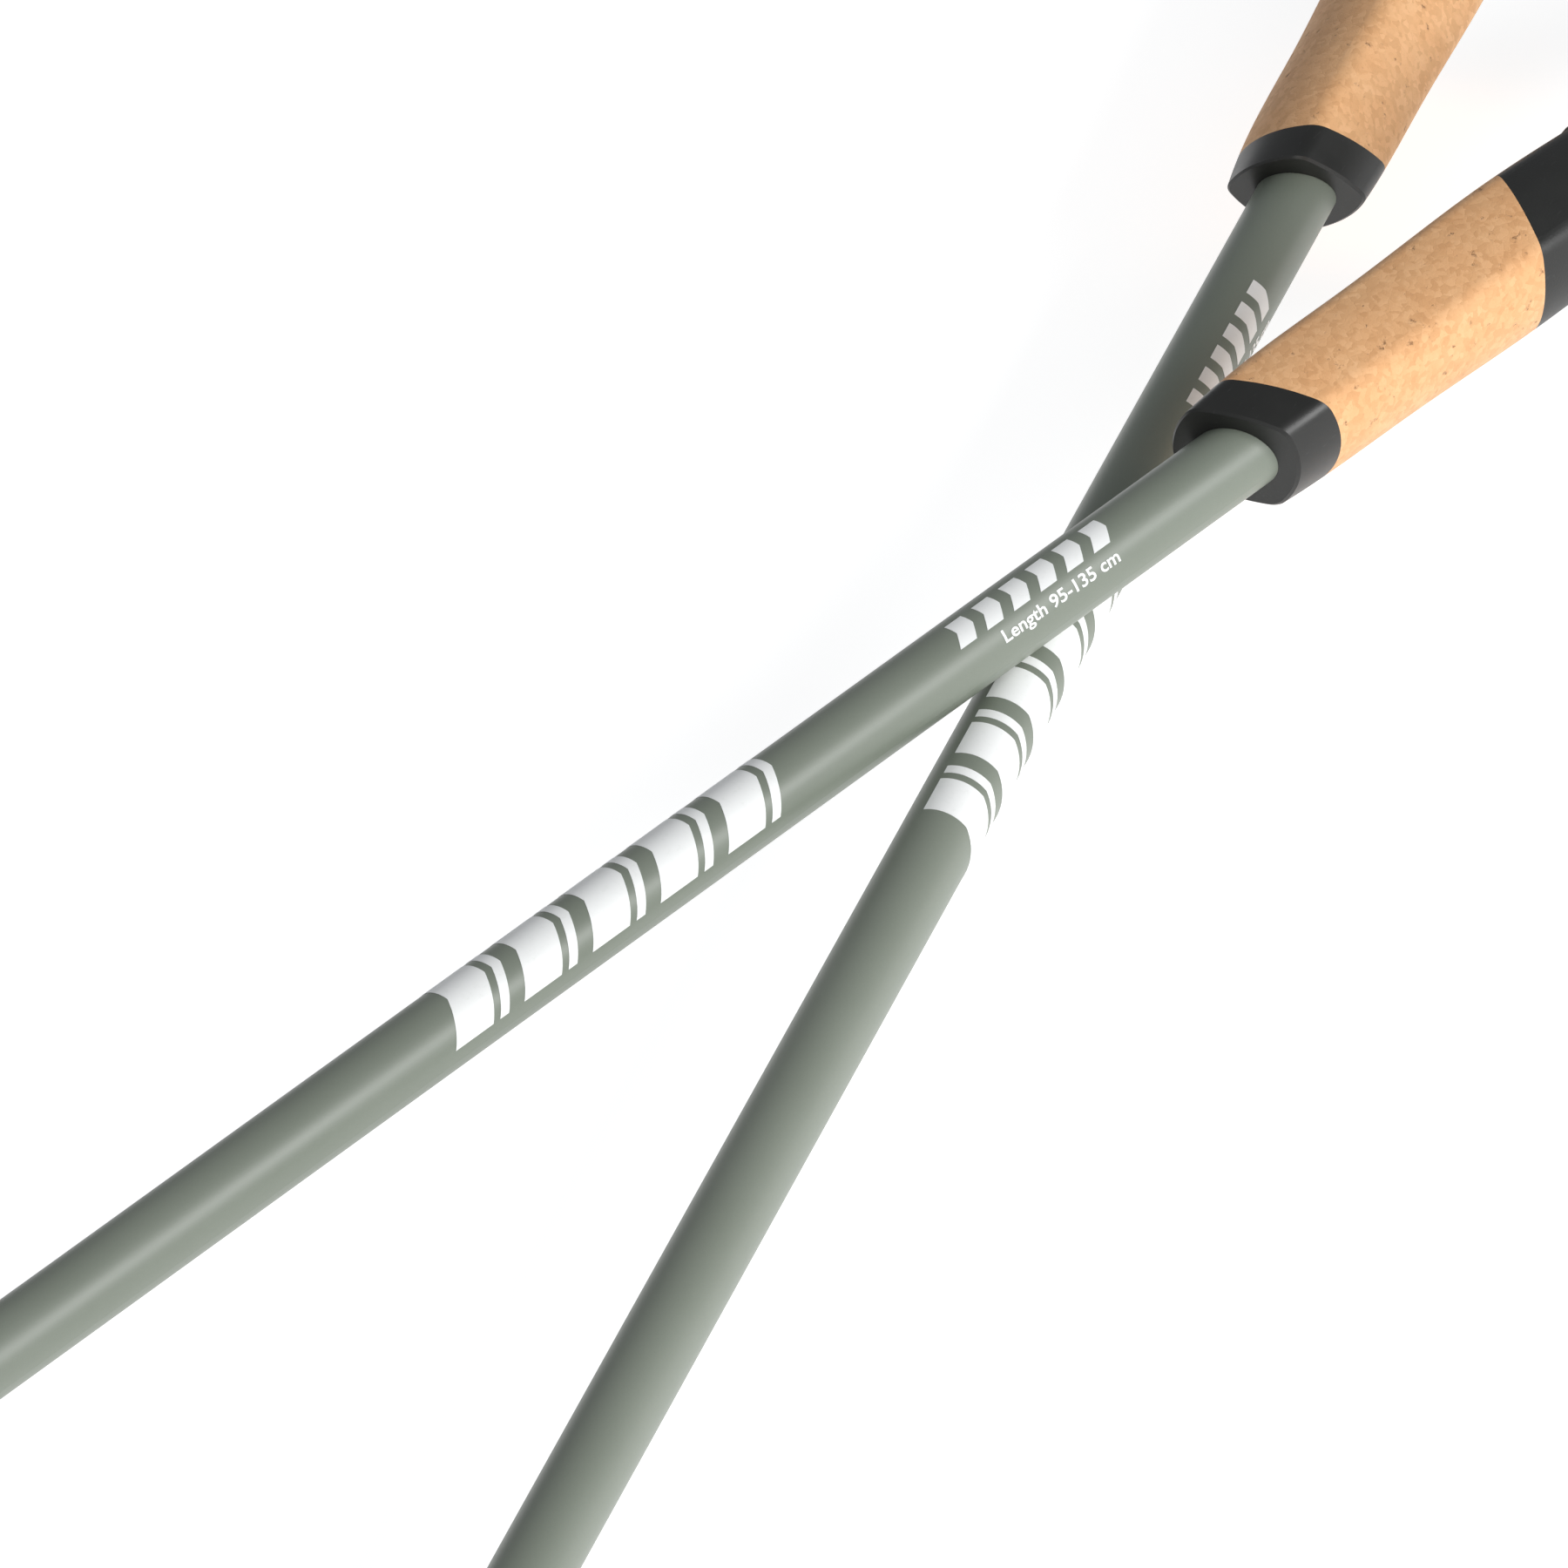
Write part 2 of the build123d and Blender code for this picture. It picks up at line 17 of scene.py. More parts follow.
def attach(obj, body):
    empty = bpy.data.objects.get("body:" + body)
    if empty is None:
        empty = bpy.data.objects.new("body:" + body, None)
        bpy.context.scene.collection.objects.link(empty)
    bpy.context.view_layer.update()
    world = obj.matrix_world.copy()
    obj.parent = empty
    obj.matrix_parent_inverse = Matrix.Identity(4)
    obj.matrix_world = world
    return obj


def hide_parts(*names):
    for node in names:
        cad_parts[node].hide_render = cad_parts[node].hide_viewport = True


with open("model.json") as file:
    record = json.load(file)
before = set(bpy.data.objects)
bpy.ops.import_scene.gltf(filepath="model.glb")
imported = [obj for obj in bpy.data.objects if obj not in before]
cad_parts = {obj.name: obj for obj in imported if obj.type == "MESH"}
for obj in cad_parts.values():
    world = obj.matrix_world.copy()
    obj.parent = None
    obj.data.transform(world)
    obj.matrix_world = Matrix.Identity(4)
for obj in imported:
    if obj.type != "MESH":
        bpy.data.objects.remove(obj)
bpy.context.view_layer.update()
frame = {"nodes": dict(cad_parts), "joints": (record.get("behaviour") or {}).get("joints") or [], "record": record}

MM = 0.001

# %% [markdown]
# Each pole was drawn in a frame of its own: its origin is on the shaft's axis where the
# shaft enters the grip, Z runs up the shaft to the head, and X points to the finger side.
# New pieces are easiest to draw in that frame. The record says where it lies: the sole
# mount gives the shaft's direction and its lower end, and the strap wedge, which slides
# straight out of the back of the head, gives minus X. One matrix per pole then carries a
# finished mesh to its place.

# %% Where each pole lies
POLES = ("a", "b")
SOLE_TO_COLLAR = 1030 * MM
SOLE_OFFSET = 2.1 * MM
MOUNTS = {mount["name"]: mount for mount in frame["record"]["mounts"]}
JOINTS = {joint["name"]: joint for joint in frame["joints"]}


def pole_matrix(pole):
    """Matrix from a pole's own frame to the row's frame."""
    sole = MOUNTS[f"sole_{pole}"]
    up = -Vector(sole["axis"]).normalized()
    fingers = -Vector(JOINTS[f"wedge_{pole}"]["axis"])
    fingers = (fingers - up * fingers.dot(up)).normalized()
    matrix = Matrix((fingers, up.cross(fingers), up)).transposed().to_4x4()
    matrix.translation = Vector(sole["pos_m"]) - fingers * SOLE_OFFSET + up * SOLE_TO_COLLAR
    return matrix


PLACE = {pole: pole_matrix(pole) for pole in POLES}
for pole in POLES:
    print("pole", pole, "enters its grip at", [round(c, 4) for c in PLACE[pole].translation])

# %% [markdown]
# The camera comes first, so that every later choice can be judged through it. It is a long
# lens six metres away, which keeps the two shafts nearly parallel-sided, looks down at 35
# degrees, and is rolled a little, so that one shaft climbs to the right and the other
# stands more steeply behind it. It aims at the first pole's axis, below the grip.

# %% Camera
CAMERA_DISTANCE = 6.0
CAMERA_LENS = 609.6
SENSOR_WIDTH = 36.0
CAMERA_YAW = math.radians(36.35)
CAMERA_DOWN = math.radians(34.98)
CAMERA_ROLL = math.radians(-7.97)
AIM_BELOW_COLLAR = 0.150

forward = Vector((
    math.cos(CAMERA_DOWN) * math.cos(CAMERA_YAW),
    math.cos(CAMERA_DOWN) * math.sin(CAMERA_YAW),
    -math.sin(CAMERA_DOWN),
))
level_right = forward.cross(Vector((0, 0, 1))).normalized()
level_up = level_right.cross(forward)
right = math.cos(CAMERA_ROLL) * level_right + math.sin(CAMERA_ROLL) * level_up
above = right.cross(forward)
aim = PLACE["a"] @ Vector((0, 0, -AIM_BELOW_COLLAR))

bpy.ops.object.camera_add(location=aim - forward * CAMERA_DISTANCE)
camera = bpy.context.object
camera.name = "camera"
camera.rotation_euler = Matrix((right, above, -forward)).transposed().to_euler()
camera.data.lens = CAMERA_LENS
camera.data.sensor_width = SENSOR_WIDTH
camera.data.clip_end = 50.0
bpy.context.scene.camera = camera
print("camera at", [round(c, 3) for c in camera.location])

# %% [markdown]
# The set is a plain white floor under a pale sky. White paper in a studio is lit until it
# has no tone left; here the floor glows a little by itself, which also bounces light up at
# the undersides of the tubes, as the paper does. The main lamp is a wide, low one to the
# camera's right, so that the far left flanks of both shafts fall into shade. A picture of
# finishes is judged by its colours, so the plain Standard view transform is used.

# %% Floor, sky and lamps
FLOOR_SIZE = 30.0
FLOOR_GREY = 0.60
FLOOR_GLOW = 0.78
SKY_COLOR = (0.93, 0.96, 1.0, 1)
SKY_STRENGTH = 0.30

bpy.context.scene.view_settings.view_transform = "Standard"

bpy.ops.object.select_all(action="DESELECT")
bpy.ops.mesh.primitive_plane_add(size=FLOOR_SIZE, location=(0, 0, 0))
floor = bpy.context.object
floor.name = "floor"
paper = bpy.data.materials.new("studio_paper")
paper.use_nodes = True
paper_shader = paper.node_tree.nodes["Principled BSDF"]
paper_shader.inputs["Base Color"].default_value = (FLOOR_GREY, FLOOR_GREY, FLOOR_GREY, 1)
paper_shader.inputs["Roughness"].default_value = 0.9
paper_shader.inputs["Emission Color"].default_value = (1.0, 1.0, 1.0, 1)
paper_shader.inputs["Emission Strength"].default_value = FLOOR_GLOW
floor.data.materials.append(paper)

sky = bpy.data.worlds.new("studio_sky")
bpy.context.scene.world = sky
sky.use_nodes = True
sky.node_tree.nodes["Background"].inputs["Color"].default_value = SKY_COLOR
sky.node_tree.nodes["Background"].inputs["Strength"].default_value = SKY_STRENGTH


def lamp(name, place, size, power):
    """A rectangular soft lamp that faces the middle of the picture."""
    bpy.ops.object.light_add(type="AREA", location=place)
    light = bpy.context.object
    light.name = name
    light.data.shape = "RECTANGLE"
    light.data.size, light.data.size_y = size
    light.data.energy = power
    light.rotation_euler = (aim - Vector(place)).to_track_quat("-Z", "Y").to_euler()
    return light


toward_camera = -Vector((forward.x, forward.y, 0)).normalized()
key_place = aim + level_right * 2.4 + toward_camera * 1.2 + Vector((0, 0, 1.25))
fill_place = aim + toward_camera * 2.6 + level_right * 0.6 + Vector((0, 0, 1.5))
lamp("key_lamp", key_place, (2.2, 1.0), 68.0)
lamp("fill_lamp", fill_place, (2.0, 1.2), 14.0)

# %% [markdown]
# Every finish below is a Principled shader with a few texture nodes in front of it. Small
# helpers keep the recipes short: they make the material, add and wire its nodes, read a
# texture, turn it into colours, mix two colours, and lay on a bump of a given depth. The
# textures read Object coordinates, which are metres here, because every piece sits at the
# origin with its place in its mesh: a scale of 1000 is a pattern of about one millimetre.

# %% Material helpers
def finish(name, color, roughness, **sockets):
    """A new material: its shader's own sockets are set from the keyword arguments."""
    material = bpy.data.materials.new(name)
    material.use_nodes = True
    shader = material.node_tree.nodes["Principled BSDF"]
    shader.inputs["Base Color"].default_value = (*color, 1)
    shader.inputs["Roughness"].default_value = roughness
    for socket, value in sockets.items():
        shader.inputs[socket.replace("_", " ")].default_value = value
    return material


def add_node(material, kind, **values):
    """A node whose attributes (lower case) or inputs (capitalised) are set by name."""
    node = material.node_tree.nodes.new("ShaderNode" + kind)
    for key, value in values.items():
        if key[0].isupper():
            node.inputs[key.replace("_", " ")].default_value = value
        else:
            setattr(node, key, value)
    return node


def wire(material, source, target):
    """Connect an output socket to an input socket."""
    material.node_tree.links.new(source, target)


def shader_of(material):
    """The material's Principled shader."""
    return material.node_tree.nodes["Principled BSDF"]


def pattern(material, kind, output, space="Object", stretch=(1, 1, 1), **values):
    """A texture node on the wanted coordinates; returns its output socket."""
    place = add_node(material, "TexCoord")
    mapping = add_node(material, "Mapping", Scale=stretch)
    texture = add_node(material, kind, **values)
    wire(material, place.outputs[space], mapping.inputs["Vector"])
    wire(material, mapping.outputs["Vector"], texture.inputs["Vector"])
    return texture.outputs[output]


def ramp(material, source, stops):
    """A colour ramp on a texture; stops are (position, colour or grey level)."""
    node = add_node(material, "ValToRGB")
    band = node.color_ramp
    while len(band.elements) < len(stops):
        band.elements.new(0.5)
    for element, (position, tone) in zip(band.elements, stops):
        element.position = position
        element.color = (*tone, 1) if isinstance(tone, tuple) else (tone, tone, tone, 1)
    wire(material, source, node.inputs["Fac"])
    return node.outputs["Color"]


# A colour Mix node's inputs, by index: its factor, and the two colours it mixes.
MIX_FACTOR, MIX_BASE, MIX_OVERLAY = 0, 6, 7
MIX_RESULT = 2


def tint(material, base, overlay, factor, blend="MIX"):
    """Mix two colours; any of the three may be a socket or a plain value."""
    node = add_node(material, "Mix", data_type="RGBA", blend_type=blend)
    for index, value in ((MIX_BASE, base), (MIX_OVERLAY, overlay), (MIX_FACTOR, factor)):
        if isinstance(value, bpy.types.NodeSocket):
            wire(material, value, node.inputs[index])
        else:
            node.inputs[index].default_value = (*value, 1) if isinstance(value, tuple) else value
    return node.outputs[MIX_RESULT]


def bump(material, height, depth, strength=1.0, under=None):
    """A bump of depth metres, laid over an earlier one if under is given."""
    node = add_node(material, "Bump", Strength=strength, Distance=depth)
    wire(material, height, node.inputs["Height"])
    if under is not None:
        wire(material, under, node.inputs["Normal"])
    wire(material, node.outputs["Normal"], shader_of(material).inputs["Normal"])
    return node.outputs["Normal"]


def paint(material, socket, source):
    """Drive one of the shader's textured sockets."""
    wire(material, source, shader_of(material).inputs[socket])


FINISHES = {}
print("helpers ready")

# %% [markdown]
# The upper tube is aluminium under a satin sage paint. Paint like this is one even colour
# with a very soft gloss, so its recipe is restrained: a cloudiness of a few percent over
# centimetres, a fine grain for the matting agent, an orange-peel bump a hundredth of a
# millimetre deep, and a thin clear coat.

# %% Sage paint
SAGE = (0.196, 0.221, 0.180)
SAGE_DEEP = (0.191, 0.216, 0.175)
SAGE_PALE = (0.201, 0.226, 0.185)

sage = finish("sage_paint", SAGE, 0.46, Coat_Weight=0.32, Coat_Roughness=0.40, Coat_IOR=1.45)
clouds = pattern(sage, "TexNoise", "Fac", Scale=22, Detail=3)
grain = pattern(sage, "TexNoise", "Fac", Scale=5200, Detail=2)
sage_tone = ramp(sage, clouds, [(0.35, SAGE_DEEP), (0.65, SAGE_PALE)])
sage_tone = tint(sage, sage_tone, ramp(sage, grain, [(0.4, 0.44), (0.6, 0.56)]), 0.22, "SOFT_LIGHT")
paint(sage, "Base Color", sage_tone)
paint(sage, "Roughness", ramp(sage, clouds, [(0.3, 0.44), (0.7, 0.48)]))
peel = bump(sage, pattern(sage, "TexNoise", "Fac", Scale=900, Detail=2), 0.010 * MM)
bump(sage, grain, 0.004 * MM, under=peel)
FINISHES["painted_tube"] = sage
print("made", sage.name)

# %% [markdown]
# Cork is cut from bark and pressed: it is a pale tan mosaic of soft grains a millimetre or
# two across, with a few darker pores. A Voronoi texture whose coordinates are first stirred
# by noise gives grains with uneven edges. Each grain takes its own tan, broad clouds warm or
# cool it, and a second, sparser noise opens the dark pores, which are also pressed in.

# %% Cork
cork = finish("cork", (0.755, 0.418, 0.196), 0.60, Specular_IOR_Level=0.32, Sheen_Weight=0.12)
shader_of(cork).inputs["Sheen Roughness"].default_value = 0.5
cork_place = add_node(cork, "TexCoord")
cork_stir = add_node(cork, "TexNoise", Scale=420, Detail=3)
wire(cork, cork_place.outputs["Object"], cork_stir.inputs["Vector"])
cork_shift = add_node(cork, "MixRGB", blend_type="LINEAR_LIGHT", Fac=0.0011)
wire(cork, cork_place.outputs["Object"], cork_shift.inputs["Color1"])
wire(cork, cork_stir.outputs["Color"], cork_shift.inputs["Color2"])


def cork_cells(scale, feature="F1"):
    """Stirred grains of about 1/scale metres."""
    cells = add_node(cork, "TexVoronoi", feature=feature, Scale=scale)
    wire(cork, cork_shift.outputs["Color"], cells.inputs["Vector"])
    return cells


cork_grains = cork_cells(620)
cork_tone = add_node(cork, "SeparateColor")
wire(cork, cork_grains.outputs["Color"], cork_tone.inputs["Color"])
cork_color = ramp(cork, cork_tone.outputs["Red"], [
    (0.0, (0.68, 0.365, 0.165)), (0.5, (0.755, 0.418, 0.196)), (1.0, (0.815, 0.465, 0.228)),
])
cork_clouds = pattern(cork, "TexNoise", "Fac", Scale=110, Detail=4)
cork_color = tint(cork, cork_color, ramp(cork, cork_clouds, [
    (0.3, (0.43, 0.42, 0.405)), (0.7, (0.56, 0.565, 0.575)),
]), 0.6, "SOFT_LIGHT")
cork_specks = pattern(cork, "TexNoise", "Fac", Scale=1500, Detail=4, Roughness=0.65)
cork_color = tint(cork, cork_color, (0.52, 0.27, 0.11),
                  ramp(cork, cork_specks, [(0.58, 0.0), (0.74, 0.45)]))
cork_pores = pattern(cork, "TexNoise", "Fac", Scale=330, Detail=5, Roughness=0.6)
cork_open = ramp(cork, cork_pores, [(0.66, 0.0), (0.72, 1.0)])
cork_color = tint(cork, cork_color, (0.36, 0.18, 0.075), cork_open)
paint(cork, "Base Color", cork_color)
paint(cork, "Roughness", ramp(cork, cork_specks, [(0.35, 0.66), (0.65, 0.80)]))
cork_edges = cork_cells(620, "DISTANCE_TO_EDGE")
cork_seams = ramp(cork, cork_edges.outputs["Distance"], [(0.0, 0.0), (0.12, 1.0)])
cork_relief = bump(cork, cork_seams, 0.05 * MM, 0.5)
cork_relief = bump(cork, cork_specks, 0.05 * MM, 0.6, cork_relief)
bump(cork, ramp(cork, cork_pores, [(0.64, 1.0), (0.72, 0.0)]), 0.25 * MM, 0.8, cork_relief)
FINISHES["cork"] = cork
print("made", cork.name)

# %% [markdown]
# Most of the rest is black plastic, but no two of these plastics are the same. The collar
# is the glossiest; the head is a soft-touch moulding with a fine texture; the lock and the
# ferrule are harder nylon. One function makes them all from a colour, a roughness and the
# size and depth of the moulded texture, and adds the faint unevenness and hairline rubs
# that handling leaves.

# %% Black plastics
def moulded(name, color, roughness, grain_scale, grain_depth, rubs=0.06, **sockets):
    """A moulded plastic with a fine texture and faint rub marks."""
    plastic = finish(name, color, roughness, **sockets)
    lighter = tuple(c * 1.3 + 0.002 for c in color)
    patches = pattern(plastic, "TexNoise", "Fac", Scale=60, Detail=4)
    streaks = pattern(plastic, "TexNoise", "Fac", stretch=(0.12, 1, 1), Scale=1400, Detail=2)
    tone = ramp(plastic, patches, [(0.35, color), (0.7, lighter)])
    tone = tint(plastic, tone, tuple(c + 0.05 for c in color),
                ramp(plastic, streaks, [(0.66, 0.0), (0.74, rubs * 4)]))
    paint(plastic, "Base Color", tone)
    paint(plastic, "Roughness", ramp(plastic, patches, [
        (0.3, max(roughness - 0.05, 0.05)), (0.7, roughness + 0.07),
    ]))
    pebbles = pattern(plastic, "TexVoronoi", "Distance", Scale=grain_scale)
    bump(plastic, pebbles, grain_depth)
    return plastic


FINISHES["collar_plastic"] = moulded("collar_plastic", (0.011, 0.0112, 0.0100), 0.36, 2600, 0.006 * MM)
FINISHES["head_plastic"] = moulded("head_plastic", (0.0125, 0.0127, 0.0115), 0.46, 1700, 0.02 * MM)
FINISHES["lock_plastic"] = moulded("lock_plastic", (0.021, 0.021, 0.020), 0.46, 2200, 0.015 * MM)
FINISHES["ferrule_plastic"] = moulded("ferrule_plastic", (0.019, 0.019, 0.019), 0.42, 2400, 0.012 * MM, 0.1)
FINISHES["bush_plastic"] = moulded("bush_plastic", (0.03, 0.03, 0.03), 0.5, 2400, 0.01 * MM)
print("made", len(FINISHES) - 2, "plastics")

# %% [markdown]
# Rubber is duller than plastic, and picks up dust. The pad on the crown has a leather-like
# pebble so that a palm doesn't slip on it. The foot is a plain matt rubber whose dust sits
# in patches.

# %% Rubbers
def rubber(name, color, pebble_scale, pebble_depth, dust):
    """Matt rubber with pebbles and a patchy film of dust."""
    soft = finish(name, color, 0.78, Specular_IOR_Level=0.35)
    patches = pattern(soft, "TexNoise", "Fac", Scale=140, Detail=6, Roughness=0.7)
    paint(soft, "Base Color", tint(soft, color, dust, ramp(soft, patches, [(0.45, 0.0), (0.75, 0.35)])))
    paint(soft, "Roughness", ramp(soft, patches, [(0.3, 0.70), (0.7, 0.88)]))
    pebbles = pattern(soft, "TexVoronoi", "Distance", Scale=pebble_scale)
    fine = bump(soft, pattern(soft, "TexNoise", "Fac", Scale=4000, Detail=2), 0.01 * MM)
    bump(soft, ramp(soft, pebbles, [(0.1, 1.0), (0.6, 0.0)]), pebble_depth, 0.8, fine)
    return soft


FINISHES["pad_rubber"] = rubber("pad_rubber", (0.045, 0.049, 0.045), 900, 0.12 * MM, (0.07, 0.075, 0.07))
FINISHES["foot_rubber"] = rubber("foot_rubber", (0.02, 0.02, 0.02), 2400, 0.02 * MM, (0.09, 0.08, 0.065))
print("made the rubbers")

# %% [markdown]
# The metals differ in how they were finished: the lower tube and the lever are anodised, so
# their metal shows through a dyed skin; the screws and pins are bright plated steel; the
# thumb nut is satin aluminium; and the carbide point is ground and dull. Noise squeezed in
# one direction gives the fine lines of drawing or grinding.

# %% Metals
def metal(name, color, roughness, lines, depth, metallic=1.0, stretch=(0.06, 1, 1)):
    """A metal with fine drawn lines; lines is their scale."""
    drawn = finish(name, color, roughness, Metallic=metallic)
    hair = pattern(drawn, "TexNoise", "Fac", stretch=stretch, Scale=lines, Detail=3)
    haze = pattern(drawn, "TexNoise", "Fac", Scale=90, Detail=4)
    paint(drawn, "Base Color", ramp(drawn, haze, [
        (0.3, tuple(c * 0.9 for c in color)), (0.7, tuple(min(c * 1.08, 1) for c in color)),
    ]))
    paint(drawn, "Roughness", ramp(drawn, hair, [(0.3, roughness - 0.07), (0.7, roughness + 0.07)]))
    bump(drawn, hair, depth)
    return drawn


FINISHES["lower_tube_metal"] = metal("lower_tube_metal", (0.115, 0.12, 0.118), 0.40, 2600, 0.004 * MM, 0.85)
FINISHES["lever_metal"] = metal("lever_metal", (0.30, 0.335, 0.28), 0.42, 2200, 0.006 * MM, 0.6)
FINISHES["nut_metal"] = metal("nut_metal", (0.62, 0.62, 0.61), 0.32, 2800, 0.006 * MM)
FINISHES["steel"] = metal("steel", (0.60, 0.60, 0.61), 0.24, 3000, 0.004 * MM)
FINISHES["carbide"] = metal("carbide", (0.42, 0.42, 0.44), 0.44, 3600, 0.02 * MM, stretch=(1, 1, 0.3))
print("made the metals")

# %% [markdown]
# With the finishes ready, each CAD piece gets the one that the record's list of sub-parts
# names for it. Its mesh is left alone; only its material slot is filled.

# %% Dress the CAD pieces
SLOT_OF = {part["node"]: part["material_slot"] for part in frame["record"]["subparts"]}
for node_name, node_object in frame["nodes"].items():
    slot_name = SLOT_OF[node_name]
    if slot_name in FINISHES:
        node_object.data.materials.clear()
        node_object.data.materials.append(FINISHES[slot_name])
print("dressed", len(frame["nodes"]), "pieces")

# %% [markdown]
# New pieces are modelled flat or at the origin with the usual operators and then moved.
# An operator works on everything that is selected, so each piece starts with nothing
# selected, and a few small helpers do the selecting, applying and naming.

# %% Modelling helpers
def only(piece):
    """Select this piece alone and make it the active one."""
    bpy.ops.object.select_all(action="DESELECT")
    piece.select_set(True)
    bpy.context.view_layer.objects.active = piece


def begin():
    """Nothing selected, before a primitive is added."""
    bpy.ops.object.select_all(action="DESELECT")


def modify(piece, kind, **values):
    """Add a modifier, set it and apply it."""
    only(piece)
    modifier = piece.modifiers.new(kind.lower(), kind)
    for key, value in values.items():
        setattr(modifier, key, value)
    bpy.ops.object.modifier_apply(modifier=modifier.name)


def join(pieces):
    """Make one object of several."""
    only(pieces[0])
    for piece in pieces:
        piece.select_set(True)
    bpy.ops.object.join()
    return bpy.context.object


def place(piece, name, matrix, material, body, slot):
    """Bake the piece's place into its mesh, name it, finish it and let it ride."""
    piece.data.transform(matrix @ piece.matrix_world)
    piece.matrix_world = Matrix.Identity(4)
    piece.name = name
    piece.data.name = name
    piece.data.materials.clear()
    piece.data.materials.append(material)
    only(piece)
    bpy.ops.object.shade_smooth_by_angle(angle=math.radians(35))
    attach(piece, body)
    return piece


print("modelling helpers ready")

# %% [markdown]
# The printed marks are a film of white ink rolled round the tube. They are drawn flat, with
# x along the tube towards the grip and y up the drawing, given the ink's thickness, and
# then rolled: y becomes an angle and the height above the sheet a little extra radius. A
# curved surface needs enough edges across it, so every mark is cut into narrow strips
# before it is rolled. The real lettering is replaced by plain shapes: a row of bold slanted
# blocks, a row of small slanted marks, and a line that only gives the pole's length range.

# %% Ink, and rolling a drawing on to a tube
UPPER_RADIUS = 9.0 * MM
LOWER_RADIUS = 7.8 * MM
INK = 0.06 * MM

ink = finish("white_ink", (0.86, 0.87, 0.86), 0.48)
ink_wear = pattern(ink, "TexNoise", "Fac", Scale=700, Detail=5, Roughness=0.7)
paint(ink, "Base Color", tint(ink, (0.90, 0.91, 0.90), (0.78, 0.80, 0.77),
                              ramp(ink, ink_wear, [(0.55, 0.0), (0.8, 0.6)])))
bump(ink, ink_wear, 0.008 * MM)


def roll(piece, radius, middle):
    """Roll a flat drawing on to a tube; middle is the angle of y = 0, in degrees."""
    for vertex in piece.data.vertices:
        along, across, lift = vertex.co
        angle = math.radians(middle) - across / radius
        reach = radius + lift
        vertex.co = (reach * math.cos(angle), reach * math.sin(angle), along)


def strip(length, height, strips, slant=0.0, point=0.0):
    """A flat bar cut into strips; slant leans it and point bends it into a chevron."""
    begin()
    bpy.ops.mesh.primitive_grid_add(x_subdivisions=1, y_subdivisions=strips, size=1)
    bar = bpy.context.object
    for vertex in bar.data.vertices:
        y = vertex.co.y * height
        vertex.co = (vertex.co.x * length + y * slant + (height / 2 - abs(y)) * point, y, 0)
    return bar


def slid(piece, x, y=0.0):
    """Move a flat drawing within its sheet."""
    for vertex in piece.data.vertices:
        vertex.co.x += x
        vertex.co.y += y
    return piece


def inked(drawings, radius, middle):
    """Join flat drawings, give them the ink's thickness and roll them on."""
    drawing = join(drawings)
    modify(drawing, "SOLIDIFY", thickness=INK, offset=1.0)
    roll(drawing, radius, middle)
    return drawing


print("ink ready")

# %% [markdown]
# The bold row is 110 mm long and wraps about 145 degrees of the tube. Five slanted blocks,
# each with a thin bar beside it, have the weight of bold capitals without saying anything.
# The ends of every block are bent a little, so that it reads as a chevron.

# %% Bold blocks
BOLD_SPAN = (154 * MM, 264 * MM)
BOLD_HEIGHT = 22.5 * MM
BOLD_MIDDLE = -93.0
BOLD_COUNT = 5
BLOCK_WIDTH = 12.0 * MM
THIN_WIDTH = 2.8 * MM
THIN_PLACE = 9.6 * MM
BLOCK_LEAN = 0.26
BOLD_STRIPS = 24


def bold_marks():
    """Blocks and thin bars between the two ends of the bold row, drawn flat."""
    start, end = BOLD_SPAN
    pitch = (end - start) / BOLD_COUNT
    marks = []
    for index in range(BOLD_COUNT):
        for width, shift in ((BLOCK_WIDTH, 0), (THIN_WIDTH, THIN_PLACE)):
            mark = strip(width, BOLD_HEIGHT, BOLD_STRIPS, slant=BLOCK_LEAN, point=BLOCK_LEAN)
            marks.append(slid(mark, shift - (end - pitch * (index + 0.35))))
    return marks


for pole in POLES:
    place(inked(bold_marks(), UPPER_RADIUS, BOLD_MIDDLE), f"pole_{pole}_bold_print",
          PLACE[pole], ink, f"shaft_{pole}", "painted_tube")
print("bold print:", BOLD_COUNT, "blocks on each pole")

# %% [markdown]
# Above the bold row, nearer the grip, is a row of small slanted marks, and under it a fine
# line of text that only gives the range of lengths. Text is turned into a mesh before it is
# cut into strips, because a text object can't be rolled.

# %% Small marks and the length range
SMALL_SPAN = (44 * MM, 97 * MM)
SMALL_HEIGHT = 7.6 * MM
SMALL_MIDDLE = -91.0
SMALL_COUNT = 6
RANGE_MIDDLE = -44.0
RANGE_SIZE = 4.4 * MM
RANGE_BOLD = 0.07 * MM
RANGE_LENGTH = 38 * MM
RANGE_SHIFT = 3 * MM
SMALL_FILL = 0.60
SMALL_STRIPS = 10
SMALL_LEAN = 0.30
SMALL_POINT = 0.35


